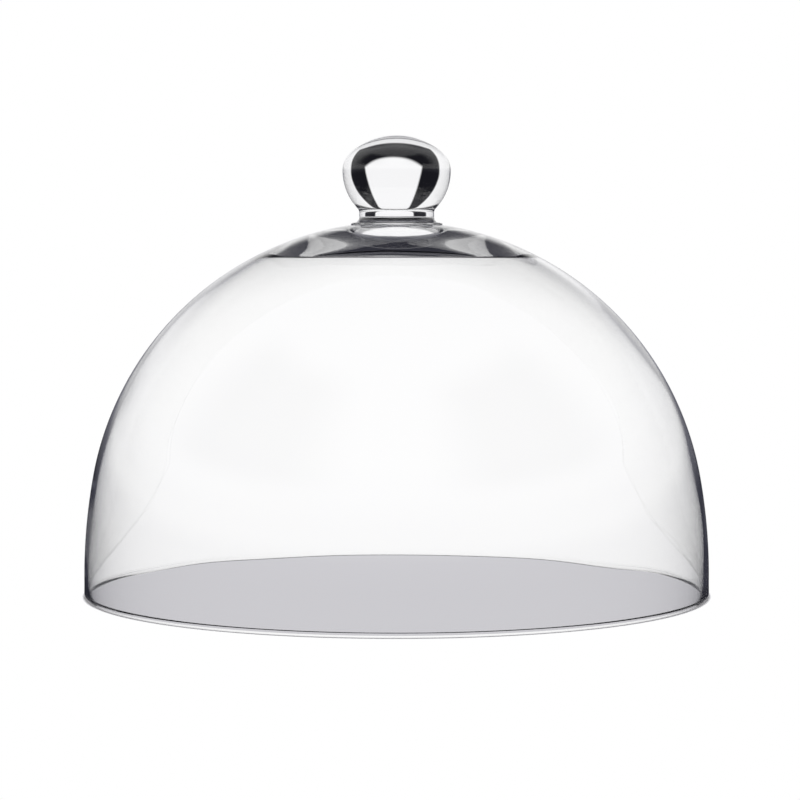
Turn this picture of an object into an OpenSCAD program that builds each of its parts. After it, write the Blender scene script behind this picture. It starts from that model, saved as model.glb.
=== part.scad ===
// Buffet food cover: a blown clear glass bell with a solid glass knob fused on its crown.
// Millimetres. The rim stands on z = 0 and the bell turns about the Z axis.

/* [Bell] */
// Outer diameter of the bell at its rim
rim_d = 300; // [250:1:330]
// Height of the bell's outer crown above the rim, as it would be without the knob's seat
bell_h = 178.5; // [166:0.5:200]
// Height of the straight band just above the rim
band_h = 8.5; // [4:0.5:20]
// Radius of the lower wall's slow curve, between the straight band and the dome
skirt_r = 270; // [255:5:400]
// Thickness of the blown wall
wall_t = 2.5; // [2:0.1:4]
// Width of the flat land that fire polishing leaves in the middle of the rim
rim_land = 0.8; // [0.4:0.1:1.2]

/* [Crown] */
// Thickness of the glass on the axis, between the outer crown and the ceiling
crown_t = 13.5; // [9:0.5:20]
// Radius of the shallow ceiling inside
ceiling_r = 404; // [300:1:1200]
// Radius that leads the wall over into the ceiling
haunch_r = 5.25; // [4:0.25:40]

/* [Knob] */
// Diameter of the ball at its widest
ball_d = 52; // [46:0.5:64]
// Height of the ball's flattened top above its widest level
ball_top_h = 17; // [15:0.5:22]
// Radius of the ball's shoulder above its widest level
ball_shoulder_r = 12.5; // [8:0.5:14.5]
// Diameter of the neck at its waist
neck_d = 36; // [28:0.5:36.5]
// Height of the straight waist
neck_h = 2; // [1:0.5:8]
// Radius of the hollow between the ball and the waist
throat_r = 3; // [2:0.25:8]
// Radius of the flare between the waist and the foot
flare_r = 3; // [1.5:0.25:3.25]
// Diameter of the foot that sits on the crown
foot_d = 44; // [43.5:0.5:60]
// Thickness of the foot at its rounded edge
foot_t = 1; // [0.8:0.1:1.8]

/* [Hidden] */
$fn = 180;
bell_colour = [0.86, 0.88, 0.92, 0.45];
knob_colour = [0.78, 0.80, 0.86, 0.60];

rim_r = rim_d / 2;
polish_r = (wall_t - rim_land) / 2;

// The dome is centred on the axis, touches the skirt's curve and reaches the crown.
skirt_x = skirt_r - rim_r;
rise = bell_h - band_h;
dome_r = (pow(skirt_r, 2) - pow(skirt_x, 2) - pow(rise, 2)) / (2 * (skirt_r - rise));
skirt_c = [-skirt_x, band_h];
dome_c = [0, bell_h - dome_r];
skirt_end = atan2(dome_c.y - skirt_c.y, skirt_x);

// The haunch touches the dome's inner wall and the ceiling, whose centres are both on the axis.
inner_r = dome_r - wall_t;
ceiling_c = [0, bell_h - crown_t - ceiling_r];
to_dome = inner_r - haunch_r;
to_ceiling = ceiling_r - haunch_r;
between = dome_c.y - ceiling_c.y;
haunch_up = (pow(to_ceiling, 2) - pow(to_dome, 2) + pow(between, 2)) / (2 * between);
haunch_c = [sqrt(pow(to_ceiling, 2) - pow(haunch_up, 2)), ceiling_c.y + haunch_up];
haunch_start = atan2(haunch_c.y - dome_c.y, haunch_c.x);
ceiling_start = atan2(haunch_up, haunch_c.x);

// The knob's foot sits on a flat seat as wide as the foot, ground on the crown.
foot_r = foot_d / 2;
foot_edge_r = foot_t / 2;
seat_z = dome_c.y + sqrt(pow(dome_r, 2) - pow(foot_r, 2));

// Heights in the knob are above the seat. The ball touches the throat from above.
ball_r = ball_d / 2;
neck_r = neck_d / 2;
flare_c = [neck_r + flare_r, foot_t + flare_r];
throat_c = [neck_r + throat_r, flare_c.y + neck_h];
ball_c = [0, throat_c.y + sqrt(pow(ball_r + throat_r, 2) - pow(throat_c.x, 2))];

// The ball's shoulder starts upright at its widest level and touches the flatter arc of its top.
shoulder_c = [ball_r - ball_shoulder_r, ball_c.y];
top_drop = ball_top_h - ball_shoulder_r;
top_r = (pow(shoulder_c.x, 2) + pow(ball_top_h, 2) - pow(ball_shoulder_r, 2)) / (2 * top_drop);
top_c = [0, ball_c.y + ball_top_h - top_r];
shoulder_end = atan2(shoulder_c.y - top_c.y, shoulder_c.x);

// A disc about point c.
module disc(c, r) {
    translate(c)
        circle(r);
}

// A slice of a disc about point c, between two directions less than a half turn apart.
module slice(c, r, from, to) {
    reach = 2 * r;
    intersection() {
        disc(c, r);
        translate(c)
            polygon([
                [0, 0],
                for (a = [from, (from + to) / 2, to]) reach * [cos(a), sin(a)]
            ]);
    }
}

// Keeps the half of a profile right of the axis, from its base up to a height.
module half(height = rim_d) {
    intersection() {
        children();
        square([rim_d, height]);
    }
}

// Outside of the bell: straight band, slow skirt and round dome, each touching the next, cut flat at the seat.
module bell_outside() {
    half(seat_z) {
        square([rim_r, band_h]);
        slice(skirt_c, skirt_r, 0, skirt_end);
        disc(dome_c, dome_r);
    }
}

// Inside of the bell: the same wall one thickness in, then the haunch and the shallow ceiling.
module bell_inside() {
    half() {
        square([rim_r - wall_t, band_h]);
        slice(skirt_c, skirt_r - wall_t, 0, skirt_end);
        slice(dome_c, inner_r, 0, haunch_start);
        disc(haunch_c, haunch_r);
        slice(ceiling_c, ceiling_r, ceiling_start, 90);
    }
}

// What fire polishing takes off one corner of the rim. The corner is at x, and the glass lies on the given side.
module rim_corner(x, side) {
    difference() {
        translate([side > 0 ? x : x - polish_r, 0])
            square(polish_r);
        disc([x + side * polish_r, polish_r], polish_r);
    }
}

// Blown bell: thin wall, heavy crown, and a fire-polished rim that leaves a narrow flat land to stand on.
module bell() {
    color(bell_colour)
        rotate_extrude()
            difference() {
                bell_outside();
                bell_inside();
                rim_corner(rim_r, -1);
                rim_corner(rim_r - wall_t, 1);
            }
}

// Foot of the knob: a thin round-edged plate that the flare leads up into the waist.
module foot_profile() {
    square([foot_r - foot_edge_r, foot_t]);
    disc([foot_r - foot_edge_r, foot_edge_r], foot_edge_r);
    difference() {
        square(flare_c);
        disc(flare_c, flare_r);
    }
}

// Waist of the knob, and the throat's hollow that leads it up into the ball.
module neck_profile() {
    square([neck_r, throat_c.y]);
    difference() {
        polygon([[0, throat_c.y], throat_c, ball_c]);
        disc(throat_c, throat_r);
    }
}

// Ball of the knob: round below its widest level, with a tighter shoulder and a flatter top above.
module ball_profile() {
    half(ball_c.y)
        disc(ball_c, ball_r);
    half() {
        disc(shoulder_c, ball_shoulder_r);
        slice(top_c, top_r, shoulder_end, 90);
    }
}

// Solid knob, fused face to face on the crown's seat.
module knob() {
    color(knob_colour)
        translate([0, 0, seat_z])
            rotate_extrude() {
                foot_profile();
                neck_profile();
                ball_profile();
            }
}

bell();
knob();
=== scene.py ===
import bpy
import numpy as np
from mathutils import Euler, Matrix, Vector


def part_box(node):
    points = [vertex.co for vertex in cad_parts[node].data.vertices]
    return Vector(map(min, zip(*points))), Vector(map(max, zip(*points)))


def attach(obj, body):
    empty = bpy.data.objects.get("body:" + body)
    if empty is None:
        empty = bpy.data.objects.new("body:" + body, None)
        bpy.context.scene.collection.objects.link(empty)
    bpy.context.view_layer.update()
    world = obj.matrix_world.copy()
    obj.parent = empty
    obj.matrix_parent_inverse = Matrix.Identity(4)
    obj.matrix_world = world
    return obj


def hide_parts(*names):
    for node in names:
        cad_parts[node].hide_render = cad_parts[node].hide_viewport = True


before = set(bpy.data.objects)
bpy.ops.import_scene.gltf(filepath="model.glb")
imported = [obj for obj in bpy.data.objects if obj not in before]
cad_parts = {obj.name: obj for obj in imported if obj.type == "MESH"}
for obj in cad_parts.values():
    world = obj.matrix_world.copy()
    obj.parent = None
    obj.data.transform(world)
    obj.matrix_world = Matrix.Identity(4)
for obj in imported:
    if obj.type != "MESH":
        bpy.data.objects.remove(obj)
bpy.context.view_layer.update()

scene = bpy.context.scene
scene.view_settings.view_transform = "Standard"
mm = 0.001  # settings are in millimetres, meshes in metres
hair = 0.01  # millimetres, as near as counts as the same place
print("frame nodes:", sorted(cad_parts))


def hexColour(code):  # sRGB hex text to linear RGBA
    srgb = np.array([int(code[i:i + 2], 16) for i in (1, 3, 5)]) / 255
    linear = np.where(srgb <= 0.04045, srgb / 12.92, ((srgb + 0.055) / 1.055) ** 2.4)
    return (*linear.tolist(), 1.0)


def emptyTree(owner):  # the node tree of a new material or world, with nothing in it
    owner.use_nodes = True
    owner.node_tree.nodes.clear()
    return owner.node_tree


def addNode(tree, kind, settings=None, **sockets):
    # one node with its settings, constants and links; i0, i1 and so on name an input by its number,
    # and a node given as a value stands for its first output in use
    node = tree.nodes.new(kind)
    for name, value in (settings or {}).items():
        if name != "stops":
            setattr(node, name, value)
            continue
        for count, (position, code) in enumerate(value):  # a ramp has two stops to start with
            stops = node.color_ramp.elements
            stop = stops[count] if count < 2 else stops.new(position)
            stop.position, stop.color = position, hexColour(code)
    for name, value in sockets.items():
        key = int(name[1:]) if name[0] == "i" and name[1:].isdigit() else name.replace("_", " ")
        if isinstance(value, bpy.types.Node):
            value = next(output for output in value.outputs if output.enabled)
        if isinstance(value, bpy.types.NodeSocket):
            tree.links.new(value, node.inputs[key])
        else:
            node.inputs[key].default_value = value
    return node


# kinds and settings of the nodes that come up most
maths, mix, ramp = "ShaderNodeMath", "ShaderNodeMix", "ShaderNodeValToRGB"
colours = {"data_type": "RGBA"}
times, timesPlus, most, least, more, less = (
    {"operation": name}
    for name in ("MULTIPLY", "MULTIPLY_ADD", "MAXIMUM", "MINIMUM", "GREATER_THAN", "LESS_THAN")
)

# camera: a long lens a little below the crown's level, tipped down (degrees)
shot = dict(across=1.6, back=1100.0, up=147.1, tip=2.83, lens=102.7, sensor=36.0)
lens = bpy.data.cameras.new("camera")
lens.lens, lens.sensor_width = shot["lens"], shot["sensor"]
camera = bpy.data.objects.new("camera", lens)
camera.location = (shot["across"] * mm, -shot["back"] * mm, shot["up"] * mm)
camera.rotation_euler = Euler(np.radians([90 - shot["tip"], 0, 0]))
scene.collection.objects.link(camera)
scene.camera = camera
print("camera set")


def arc(centre, radius, start, end, step=2.5, fewest=8):
    # centre + radius * (cos a, sin a), with a from start to end in degrees, in steps of about step mm,
    # and never fewer steps than fewest
    count = max(int(radius * abs(np.radians(end - start)) / step), fewest) + 1
    a = np.radians(np.linspace(start, end, count))
    return np.stack([centre[0] + radius * np.cos(a), centre[1] + radius * np.sin(a)], axis=1)


def line(start, end, count):
    # start + (end - start) * t, with t from 0 to 1
    t = np.linspace(0, 1, count)[:, None]
    return np.array(start) * (1 - t) + np.array(end) * t


def chain(*runs, closest=0.001):
    # runs joined end to end, less the points within closest mm of the one before
    points = np.concatenate(runs)
    keep = np.r_[True, np.linalg.norm(np.diff(points, axis=0), axis=1) > closest]
    return points[keep]


def fadeIn(value, start, end):
    # (value - start) / (end - start), held between 0 and 1
    return np.clip((value - start) / (end - start), 0, 1)


def turned(name, profile, turns, swell):
    # (r cos t, r sin t, z) for each profile point (r, z) and turn t, moved along the profile's
    # normal by swell(points, t); the first and last points lie on the axis and close as single poles
    along = np.gradient(profile, axis=0)
    along /= np.linalg.norm(along, axis=1)[:, None]
    normal = np.stack([-along[:, 1], along[:, 0]], axis=1)
    t = np.linspace(0, 2 * np.pi, turns, endpoint=False)
    inner = slice(1, -1)
    push = swell(profile[inner], t)
    r = profile[inner, 0][:, None] + normal[inner, 0][:, None] * push
    z = profile[inner, 1][:, None] + normal[inner, 1][:, None] * push
    ring = np.stack([r * np.cos(t), r * np.sin(t), z], axis=2).reshape(-1, 3)
    ends = np.array([[0, 0, profile[0, 1]], [0, 0, profile[-1, 1]]])
    verts = np.concatenate([ring, ends]) * mm
    rows, top, bottom = len(profile) - 2, len(ring), len(ring) + 1
    i, j = np.meshgrid(np.arange(rows - 1), np.arange(turns), indexing="ij")
    k = (j + 1) % turns
    quads = np.stack([i * turns + j, (i + 1) * turns + j, (i + 1) * turns + k, i * turns + k], axis=2)
    j = np.arange(turns)
    k = (j + 1) % turns
    first = np.stack([np.full(turns, top), j, k], axis=1)
    last = np.stack([(rows - 1) * turns + j, np.full(turns, bottom), (rows - 1) * turns + k], axis=1)
    mesh = bpy.data.meshes.new(name)
    mesh.from_pydata(verts, [], [*first.tolist(), *quads.reshape(-1, 4).tolist(), *last.tolist()])
    mesh.shade_smooth()
    piece = bpy.data.objects.new(name, mesh)
    scene.collection.objects.link(piece)
    return piece


def fuseSeat(piece, height, reach):
    # gives the flat faces at the seat's height, as far out as reach, the second material, because the two
    # glasses are one there
    centre = np.zeros(len(piece.data.polygons) * 3)
    piece.data.polygons.foreach_get("center", centre)
    centre = centre.reshape(-1, 3)
    flat = np.abs(centre[:, 2] - height * mm) < hair * mm
    near = np.hypot(centre[:, 0], centre[:, 1]) < (reach + hair) * mm
    piece.data.polygons.foreach_set("material_index", (flat & near).astype(np.int32))
    print(piece.name, len(piece.data.polygons), "faces,", int((flat & near).sum()), "of them fused")


# bell: straight band, slow skirt, round dome, then the haunch and ceiling inside
bell = dict(
    rim=150.0, band=8.5, skirt=270.0, crown=178.5, wall=2.5, turns=336,
    edge=1.7, bead=1.2, beadOut=0.8, beadFillet=0.4, beadStep=0.2,  # fire-polished rim
    crownGlass=13.5, ceiling=404.0, haunch=5.25,  # inside of the heavy crown
    seat=22.0, fused=21.5,  # flat on the crown, and how far out the knob is one with it
    seatRound=0.05, seatTurn=0.02,  # the seat's edge is eased: mm on the flat, degrees on the dome
    # unevenness of the wall: waves round, length, lead in radians and share of each term, and the heights and
    # radii between which it comes in
    wave=0.22, waveTerms=((2, 210, 0.4, 0.3), (3, 130, 1.9, 0.25), (7, 85, 0.7, 0.25), (13, 60, 2.6, 0.2)),
    rimFade=(0.0, 6.0), crownFade=(30.0, 55.0),
    # tool marks on the ceiling: way in radians, length and start of each term, and the depths under the seat
    # and radii between which they come in
    mark=0.06, markTerms=((0.3, 11, 0.3), (1.4, 15, 1.7), (2.3, 9, 2.9), (2.9, 19, 0.9)),
    markDepth=(8.0, 11.0), markReach=(52.0, 38.0),
    tint="#ffffff", cordSize=38.0, ripple=0.006,
)
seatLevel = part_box("knob")[0].z / mm


def bellProfile(s):
    # from the seat's middle out, down the outside, round the rim and up the inside to the ceiling
    edge, bead, fillet, fine = s["edge"], s["bead"], s["beadFillet"], s["beadStep"]
    skirtX, rise = s["skirt"] - s["rim"], s["crown"] - s["band"]
    dome = (s["skirt"] ** 2 - skirtX ** 2 - rise ** 2) / (2 * (s["skirt"] - rise))
    skirtMid, domeMid = (-skirtX, s["band"]), (0, s["crown"] - dome)
    skirtEnd = np.degrees(np.arctan2(domeMid[1] - skirtMid[1], skirtX))
    ceilingMid = (0, s["crown"] - s["crownGlass"] - s["ceiling"])
    toDome, toCeiling = dome - s["wall"] - s["haunch"], s["ceiling"] - s["haunch"]
    between = domeMid[1] - ceilingMid[1]
    up = (toCeiling ** 2 - toDome ** 2 + between ** 2) / (2 * between)
    haunchMid = (np.sqrt(toCeiling ** 2 - up ** 2), ceilingMid[1] + up)
    haunchStart = np.degrees(np.arctan2(haunchMid[1] - domeMid[1], haunchMid[0]))
    ceilingStart = np.degrees(np.arctan2(up, haunchMid[0]))
    seatEdge = np.degrees(np.arctan2(seatLevel - domeMid[1], s["seat"]))
    outer, inner = s["rim"], s["rim"] - s["wall"]
    # fire polishing draws the rim up into a thin bead, which stands out on the inside
    edgeMid, beadMid = (outer - edge, edge), (inner - s["beadOut"] + bead, bead)
    over = beadMid[0] - inner + fillet
    filletMid = (inner - fillet, bead + np.sqrt((bead + fillet) ** 2 - over ** 2))
    beadEnd = np.degrees(np.arctan2(filletMid[1] - bead, -over))
    return chain(
        line((0, seatLevel), (s["fused"], seatLevel), count=14),
        line((s["fused"], seatLevel), (s["seat"] - s["seatRound"], seatLevel), count=4),
        arc(domeMid, dome, seatEdge - s["seatTurn"], skirtEnd),
        arc(skirtMid, s["skirt"], skirtEnd, 0),
        line((outer, s["band"]), (outer, edge), count=5),
        arc(edgeMid, edge, 0, -90, fine),
        arc(beadMid, bead, -90, beadEnd - 360, fine),
        arc(filletMid, fillet, beadEnd - 180, 0, fine),
        line((inner, filletMid[1]), (inner, s["band"]), count=5),
        arc(skirtMid, s["skirt"] - s["wall"], 0, skirtEnd),
        arc(domeMid, dome - s["wall"], skirtEnd, haunchStart),
        arc(haunchMid, s["haunch"], haunchStart, ceilingStart),
        arc(ceilingMid, s["ceiling"], ceilingStart, 90),
    )


def bellSwell(points, t):
    # a blown wall is never even: sum of share * cos(count t + lead) * cos(2 pi z / length + lead),
    # always inwards, and gone at the rim's land and at the seat
    r, z = points[:, 0][:, None], points[:, 1][:, None]
    wave = sum(
        share * np.cos(count * t + lead) * np.cos(2 * np.pi * z / length + lead)
        for count, length, lead, share in bell["waveTerms"]
    )
    wall = fadeIn(z, *bell["rimFade"]) * fadeIn(r, *bell["crownFade"])
    # tool marks on the ceiling under the knob: mean of cos(2 pi (x cos way + y sin way) / length + start),
    # gone where the wall gets thin
    marks = sum(
        np.cos(2 * np.pi * r * np.cos(t - way) / length + start) for way, length, start in bell["markTerms"]
    ) / len(bell["markTerms"])
    ceiling = fadeIn(seatLevel - z, *bell["markDepth"]) * fadeIn(r, *bell["markReach"])
    return -bell["wave"] * wall * (1 + wave) / 2 - bell["mark"] * ceiling * (1 + marks) / 2


bellPiece = turned("bellGlass", bellProfile(bell), bell["turns"], bellSwell)
fuseSeat(bellPiece, seatLevel, bell["fused"])

# knob: flattened ball, hollow throat, straight waist, flare and round-edged foot
knob = dict(
    ball=26.0, topRise=17.0, shoulder=12.5, neck=18.0, neckRun=2.0, throat=3.0, flare=3.0,
    foot=22.0, footThick=1.0, ballStep=0.5, neckStep=0.3, footStep=0.12, turns=192,
    # pull of the glass: waves round, length, lead in radians and share of each term, and the heights and
    # radii between which it comes in
    wave=0.06, waveTerms=((2, 30, 0.5, 0.6), (3, -20, 2.0, 0.4)),
    footFade=(2.0, 8.0), topFade=(0.0, 12.0),
    tint="#fefeff", cordSize=22.0, ripple=0.006,
)


def knobProfile(s):
    # from the ball's top down the outside to the foot, then in along the seat to the axis
    footEdge = s["footThick"] / 2
    flareMid = (s["neck"] + s["flare"], s["footThick"] + s["flare"])
    throatMid = (s["neck"] + s["throat"], flareMid[1] + s["neckRun"])
    ballUp = throatMid[1] + np.sqrt((s["ball"] + s["throat"]) ** 2 - throatMid[0] ** 2)
    shoulderX = s["ball"] - s["shoulder"]
    top = (shoulderX ** 2 + s["topRise"] ** 2 - s["shoulder"] ** 2) / (2 * (s["topRise"] - s["shoulder"]))
    topMid = (0, ballUp + s["topRise"] - top)
    topEnd = np.degrees(np.arctan2(ballUp - topMid[1], shoulderX))
    ballEnd = np.degrees(np.arctan2(throatMid[1] - ballUp, throatMid[0]))
    profile = chain(
        arc(topMid, top, 90, topEnd, s["ballStep"]),
        arc((shoulderX, ballUp), s["shoulder"], topEnd, 0, s["ballStep"]),
        arc((0, ballUp), s["ball"], 0, ballEnd, s["ballStep"]),
        arc(throatMid, s["throat"], ballEnd + 180, 180, s["neckStep"]),
        line((s["neck"], throatMid[1]), (s["neck"], flareMid[1]), count=8),
        arc(flareMid, s["flare"], 180, 270, s["neckStep"]),
        line((flareMid[0], s["footThick"]), (s["foot"] - footEdge, s["footThick"]), count=8),
        arc((s["foot"] - footEdge, footEdge), footEdge, 90, -90, s["footStep"]),
        line((s["foot"] - footEdge, 0), (0, 0), count=14),
    )
    return profile + (0, seatLevel)


def knobSwell(points, t):
    # slow pull of the worked glass: sum of share * cos(count t + lead + z / length), always inwards, and gone
    # at the foot and the top
    r, z = points[:, 0][:, None], points[:, 1][:, None] - seatLevel
    wave = sum(
        share * np.cos(count * t + lead + z / length) for count, length, lead, share in knob["waveTerms"]
    )
    fade = fadeIn(z, *knob["footFade"]) * fadeIn(r, *knob["topFade"])
    return -knob["wave"] * fade * (1 + wave) / 2


knobPiece = turned("knobGlass", knobProfile(knob), knob["turns"], knobSwell)
fuseSeat(knobPiece, seatLevel, bell["fused"])


def glassMaterial(name, s):
    # blown or worked soda-lime glass, fire polished: clear, mirror smooth, with slow cords that bend
    # what is seen through it a little
    material = bpy.data.materials.new(name)
    tree = emptyTree(material)
    spot = addNode(tree, "ShaderNodeTexCoord").outputs["Object"]
    cords = addNode(tree, "ShaderNodeTexNoise", Vector=spot, Scale=1 / (s["cordSize"] * mm), Detail=1.0)
    bump = addNode(tree, "ShaderNodeBump", Strength=1.0, Distance=s["ripple"] * mm, Height=cords)
    shader = addNode(tree, "ShaderNodeBsdfPrincipled", Base_Color=hexColour(s["tint"]), Roughness=0.0,
                     IOR=1.5, Transmission_Weight=1.0, Normal=bump)
    addNode(tree, "ShaderNodeOutputMaterial", Surface=shader)
    return material


def fusedMaterial():
    # where knob and crown are one glass, nothing shows and nothing bends
    material = bpy.data.materials.new("fusedGlassSeat")
    tree = emptyTree(material)
    clear = addNode(tree, "ShaderNodeBsdfTransparent")
    addNode(tree, "ShaderNodeOutputMaterial", Surface=clear)
    return material


fused = fusedMaterial()
for piece, node, slot, glass in (
    (bellPiece, "bell", "bell_glass", glassMaterial("blownClearGlass", bell)),
    (knobPiece, "knob", "knob_glass", glassMaterial("workedClearGlass", knob)),
):
    piece.data.materials.append(glass)
    piece.data.materials.append(fused)
    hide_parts(node)
    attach(piece, "root")
print("glass set")

# Light Path's counts: past these a ray was mirrored, was turned back inside the glass, was turned back many
# times, has entered the glass, or has come to a second wall
past = dict(mirrored=0.5, turnedBack=1.5, manyTimes=9.5, entered=0.5, secondWall=2.5)

# floor: a white disc; share is how much of it is the background's white, from the middle out (mm), and the
# rest takes the lamp's light and keeps the shade of the glass. The share is painted shade: it is lowered
# under the cover and lowest where the rim stands, a painted contact line, so that the glass's rendered shadow
# on the matt part shows as grey and dark there
floor = dict(
    reach=151.0, sides=96, glow="#fbfaff", matt="#fbfbfb",
    # painted shade: less white under the cover, and a painted dark contact line from 149.4 to 150.2 mm
    share=((0, "#d6d6d6"), (148.0, "#d6d6d6"), (149.4, "#808080"), (150.2, "#404040"), (150.9, "#ffffff")),
)


def floorMesh(s):
    # one flat face with its corners at (r cos t, r sin t, 0)
    t = np.linspace(0, 2 * np.pi, s["sides"], endpoint=False)
    verts = np.stack([np.cos(t), np.sin(t), 0 * t], axis=1) * s["reach"] * mm
    mesh = bpy.data.meshes.new("floor")
    mesh.from_pydata(verts, [], [list(range(s["sides"]))])
    return mesh


def floorMaterial(s):
    # matt white studio floor, white as the background, with painted shade under the cover: less of that white
    # there and least at the rim, so that the glass's rendered shadow on the matt part shows
    material = bpy.data.materials.new("mattWhiteFloor")
    tree = emptyTree(material)
    path = addNode(tree, "ShaderNodeLightPath").outputs
    spot = addNode(tree, "ShaderNodeTexCoord").outputs["Object"]
    far = addNode(tree, "ShaderNodeVectorMath", {"operation": "LENGTH"}, i0=spot)
    far = addNode(tree, maths, {"operation": "DIVIDE"}, i0=far, i1=s["reach"] * mm)
    # painted shade: the background's white, lowered by radius under the cover, with a painted contact line at
    # the rim
    share = addNode(tree, ramp, {"stops": [(r / s["reach"], code) for r, code in s["share"]]}, Fac=far)
    # the far wall's mirror image through the rim is kept plain white, without the painted shade, or it draws
    # an arch on the dome
    mirrored = addNode(tree, maths, more, i0=path["Glossy Depth"], i1=past["mirrored"])
    walls = addNode(tree, maths, more, i0=path["Transmission Depth"], i1=past["secondWall"])
    plain = addNode(tree, maths, least, i0=mirrored, i1=walls)
    share = addNode(tree, maths, most, i0=share, i1=plain)
    # the camera and the glass see that white, but light turned back inside the glass sees the shade only
    seen = addNode(tree, maths, most, i0=path["Is Glossy Ray"], i1=path["Is Transmission Ray"])
    seen = addNode(tree, maths, most, i0=path["Is Camera Ray"], i1=seen)
    few = addNode(tree, maths, less, i0=path["Glossy Depth"], i1=past["turnedBack"])
    seen = addNode(tree, maths, times, i0=seen, i1=few)
    share = addNode(tree, maths, times, i0=seen, i1=share)
    matt = addNode(tree, "ShaderNodeBsdfDiffuse", Color=hexColour(s["matt"]))
    glow = addNode(tree, "ShaderNodeEmission", Color=hexColour(s["glow"]), Strength=1.0)
    both = addNode(tree, "ShaderNodeMixShader", i0=share, i1=matt, i2=glow)
    addNode(tree, "ShaderNodeOutputMaterial", Surface=both)
    return material


floorPiece = bpy.data.objects.new("floor", floorMesh(floor))
floorPiece.data.materials.append(floorMaterial(floor))
scene.collection.objects.link(floorPiece)
print("floor set")

# light: one soft lamp overhead, which doesn't show in the glass, and the room round the cover
lamp = dict(across=500.0, up=1200.0, watts=18.0)
lampLight = bpy.data.lights.new("overheadLamp", "AREA")
lampLight.shape, lampLight.size, lampLight.energy = "DISK", lamp["across"] * mm, lamp["watts"]
lampPiece = bpy.data.objects.new("overheadLamp", lampLight)
lampPiece.location = (0, 0, lamp["up"] * mm)
lampPiece.visible_glossy = lampPiece.visible_transmission = False
scene.collection.objects.link(lampPiece)

# room, with its angles in degrees: three white panels round the cover, each in a dark frame that is open
# above, for what thick glass shows; the outside mirrors a dark table, white walls and a dark card over each
# panel, the inside a room that gets brighter upwards, and light turned back many times is a mix of all
room = dict(
    panels=3, centre=3.0, white="#ffffff", dark="#141418", matt="#898989",
    sideEdge=(20.5, 22.5), sideLean=0.18, lowEdge=(-10.5, -7.5), lowBend=0.0136,  # where a panel ends
    outerEdge=(41.5, 44.5), outerBend=0.015,  # where its frame ends at the sides
    cornerEdge=(-30.0, -27.0), cornerBend=0.004,  # and below
    highEdge=(36.0, 39.0), overEdge=(56.0, 60.0),  # a dark band all round above the panels
    outside=((-90, "#2c2c34"), (-3, "#363640"), (2, "#8a8a94"), (6, "#ffffff")),
    card="#38383e", cardSide=(14.0, 50.0), cardLow=(13.0, 24.0), cardHigh=(50.0, 66.0),
    inside=((-90, "#2c2c34"), (3, "#363640"), (9, "#8a8a94"), (17, "#e4e4ea"), (30, "#ffffff")),
    mixed="#6c6c76", farMirror=0.22, deepDrop=45.0,
)


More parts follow.
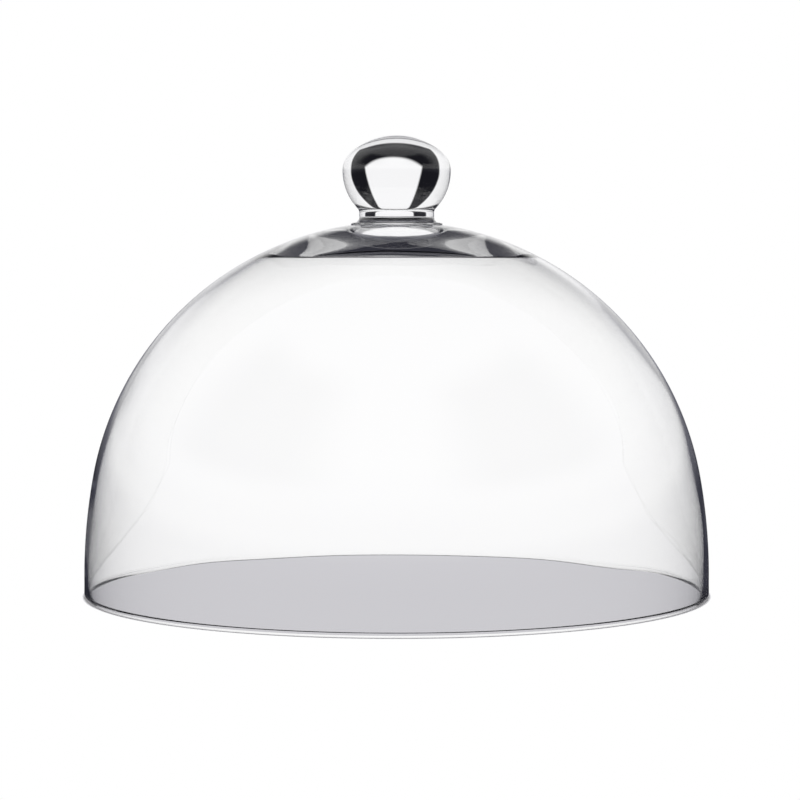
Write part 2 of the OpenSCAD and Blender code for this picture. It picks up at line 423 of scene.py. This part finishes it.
def roomWorld(s):
    # what a ray sees depends on its way through the glass: straight through thick glass the panels, frames
    # and dark band, past a second wall no frames, and in mirror images the outside's or the inside's room
    world = bpy.data.worlds.new("room")
    tree = emptyTree(world)
    path = addNode(tree, "ShaderNodeLightPath").outputs

    # the ray's rise, and its turn aside from the middle of the nearest panel
    spot = addNode(tree, "ShaderNodeTexCoord").outputs["Generated"]
    way = addNode(tree, "ShaderNodeSeparateXYZ", Vector=spot).outputs
    rise = addNode(tree, maths, {"operation": "ARCSINE"}, i0=way["Z"])
    turn = addNode(tree, maths, {"operation": "ARCTAN2"}, i0=way["X"], i1=way["Y"])
    turn = addNode(tree, maths, {"operation": "SUBTRACT"}, i0=turn, i1=np.radians(s["centre"]))
    aside = addNode(tree, maths, {"operation": "PINGPONG"}, i0=turn, i1=np.pi / s["panels"])

    # edges lean and bend, and each is a soft step between its two angles, up from 0 or down from 1
    perRadian = np.degrees(1)  # bends are given per degree
    riseSquare = addNode(tree, maths, times, i0=rise, i1=rise)
    asideSquare = addNode(tree, maths, times, i0=aside, i1=aside)
    sideTurn = addNode(tree, maths, timesPlus, i0=rise, i1=s["sideLean"], i2=aside)
    outerTurn = addNode(tree, maths, timesPlus, i0=riseSquare, i1=s["outerBend"] * perRadian, i2=aside)
    lowRise = addNode(tree, maths, timesPlus, i0=asideSquare, i1=-s["lowBend"] * perRadian, i2=rise)
    cornerRise = addNode(tree, maths, timesPlus, i0=asideSquare, i1=-s["cornerBend"] * perRadian, i2=rise)
    edges = dict(
        sideEdge=(sideTurn, 0.0), lowEdge=(lowRise, 1.0),
        outerEdge=(outerTurn, 1.0), cornerEdge=(cornerRise, 0.0),
        highEdge=(rise, 0.0), overEdge=(rise, 1.0),
        cardSide=(aside, 1.0), cardLow=(rise, 0.0), cardHigh=(rise, 1.0),
    )
    step = {
        name: addNode(tree, "ShaderNodeMapRange", {"interpolation_type": "SMOOTHSTEP"}, Value=angle,
                      From_Min=np.radians(s[name][0]), From_Max=np.radians(s[name][1]),
                      To_Min=start, To_Max=1.0 - start)
        for name, (angle, start) in edges.items()
    }

    # straight through: the frames, for light that has come to no second wall, and the dark band
    thick = addNode(tree, maths, less, i0=path["Transmission Depth"], i1=past["secondWall"])
    dark = addNode(tree, maths, most, i0=step["sideEdge"], i1=step["lowEdge"])
    within = addNode(tree, maths, least, i0=step["outerEdge"], i1=step["cornerEdge"])
    dark = addNode(tree, maths, times, i0=dark, i1=within)
    dark = addNode(tree, maths, times, i0=dark, i1=thick)
    dark = addNode(tree, maths, most, i0=dark, i1=step["highEdge"])
    dark = addNode(tree, maths, times, i0=dark, i1=step["overEdge"])
    through = addNode(tree, mix, colours, i0=dark, i6=hexColour(s["white"]), i7=hexColour(s["dark"]))

    # mirror images, by a level that is 0 straight down and 1 straight up, lower for light turned back
    deep = addNode(tree, maths, more, i0=path["Glossy Depth"], i1=past["turnedBack"])
    level = addNode(tree, maths, timesPlus, i0=deep, i1=-np.radians(s["deepDrop"]), i2=rise)
    level = addNode(tree, maths, timesPlus, i0=level, i1=1 / np.pi, i2=0.5)
    outside, inside = (
        addNode(tree, ramp, {"stops": [((angle + 90) / 180, code) for angle, code in s[name]]}, Fac=level)
        for name in ("outside", "inside")
    )
    card = addNode(tree, maths, times, i0=step["cardLow"], i1=step["cardHigh"])
    card = addNode(tree, maths, times, i0=card, i1=step["cardSide"])
    outside = addNode(tree, mix, colours, i0=card, i6=outside, i7=hexColour(s["card"]))
    front = addNode(tree, maths, less, i0=path["Transmission Depth"], i1=past["entered"])
    mirror = addNode(tree, mix, colours, i0=front, i6=inside, i7=outside)
    many = addNode(tree, maths, more, i0=path["Glossy Depth"], i1=past["manyTimes"])
    mirror = addNode(tree, mix, colours, i0=many, i6=mirror, i7=hexColour(s["mixed"]))

    # mirror images past a second wall are weak, and matt surfaces and the camera see one plain tone each
    mirrored = addNode(tree, maths, more, i0=path["Glossy Depth"], i1=past["mirrored"])
    part = addNode(tree, maths, timesPlus, i0=thick, i1=1 - s["farMirror"], i2=s["farMirror"])
    mirrored = addNode(tree, maths, times, i0=mirrored, i1=part)
    seen = addNode(tree, mix, colours, i0=mirrored, i6=through, i7=mirror)
    seen = addNode(tree, mix, colours, i0=path["Is Diffuse Ray"], i6=seen, i7=hexColour(s["matt"]))
    seen = addNode(tree, mix, colours, i0=path["Is Camera Ray"], i6=seen, i7=hexColour(s["white"]))
    back = addNode(tree, "ShaderNodeBackground", Color=seen, Strength=1.0)
    addNode(tree, "ShaderNodeOutputWorld", Surface=back)
    return world


scene.world = roomWorld(room)
bounces = 24  # light turns many times in the thick crown before it leaves
scene.cycles.max_bounces = bounces
scene.cycles.transmission_bounces = bounces
scene.cycles.glossy_bounces = bounces
scene.cycles.caustics_refractive = False
scene.cycles.caustics_reflective = False
print("light set")
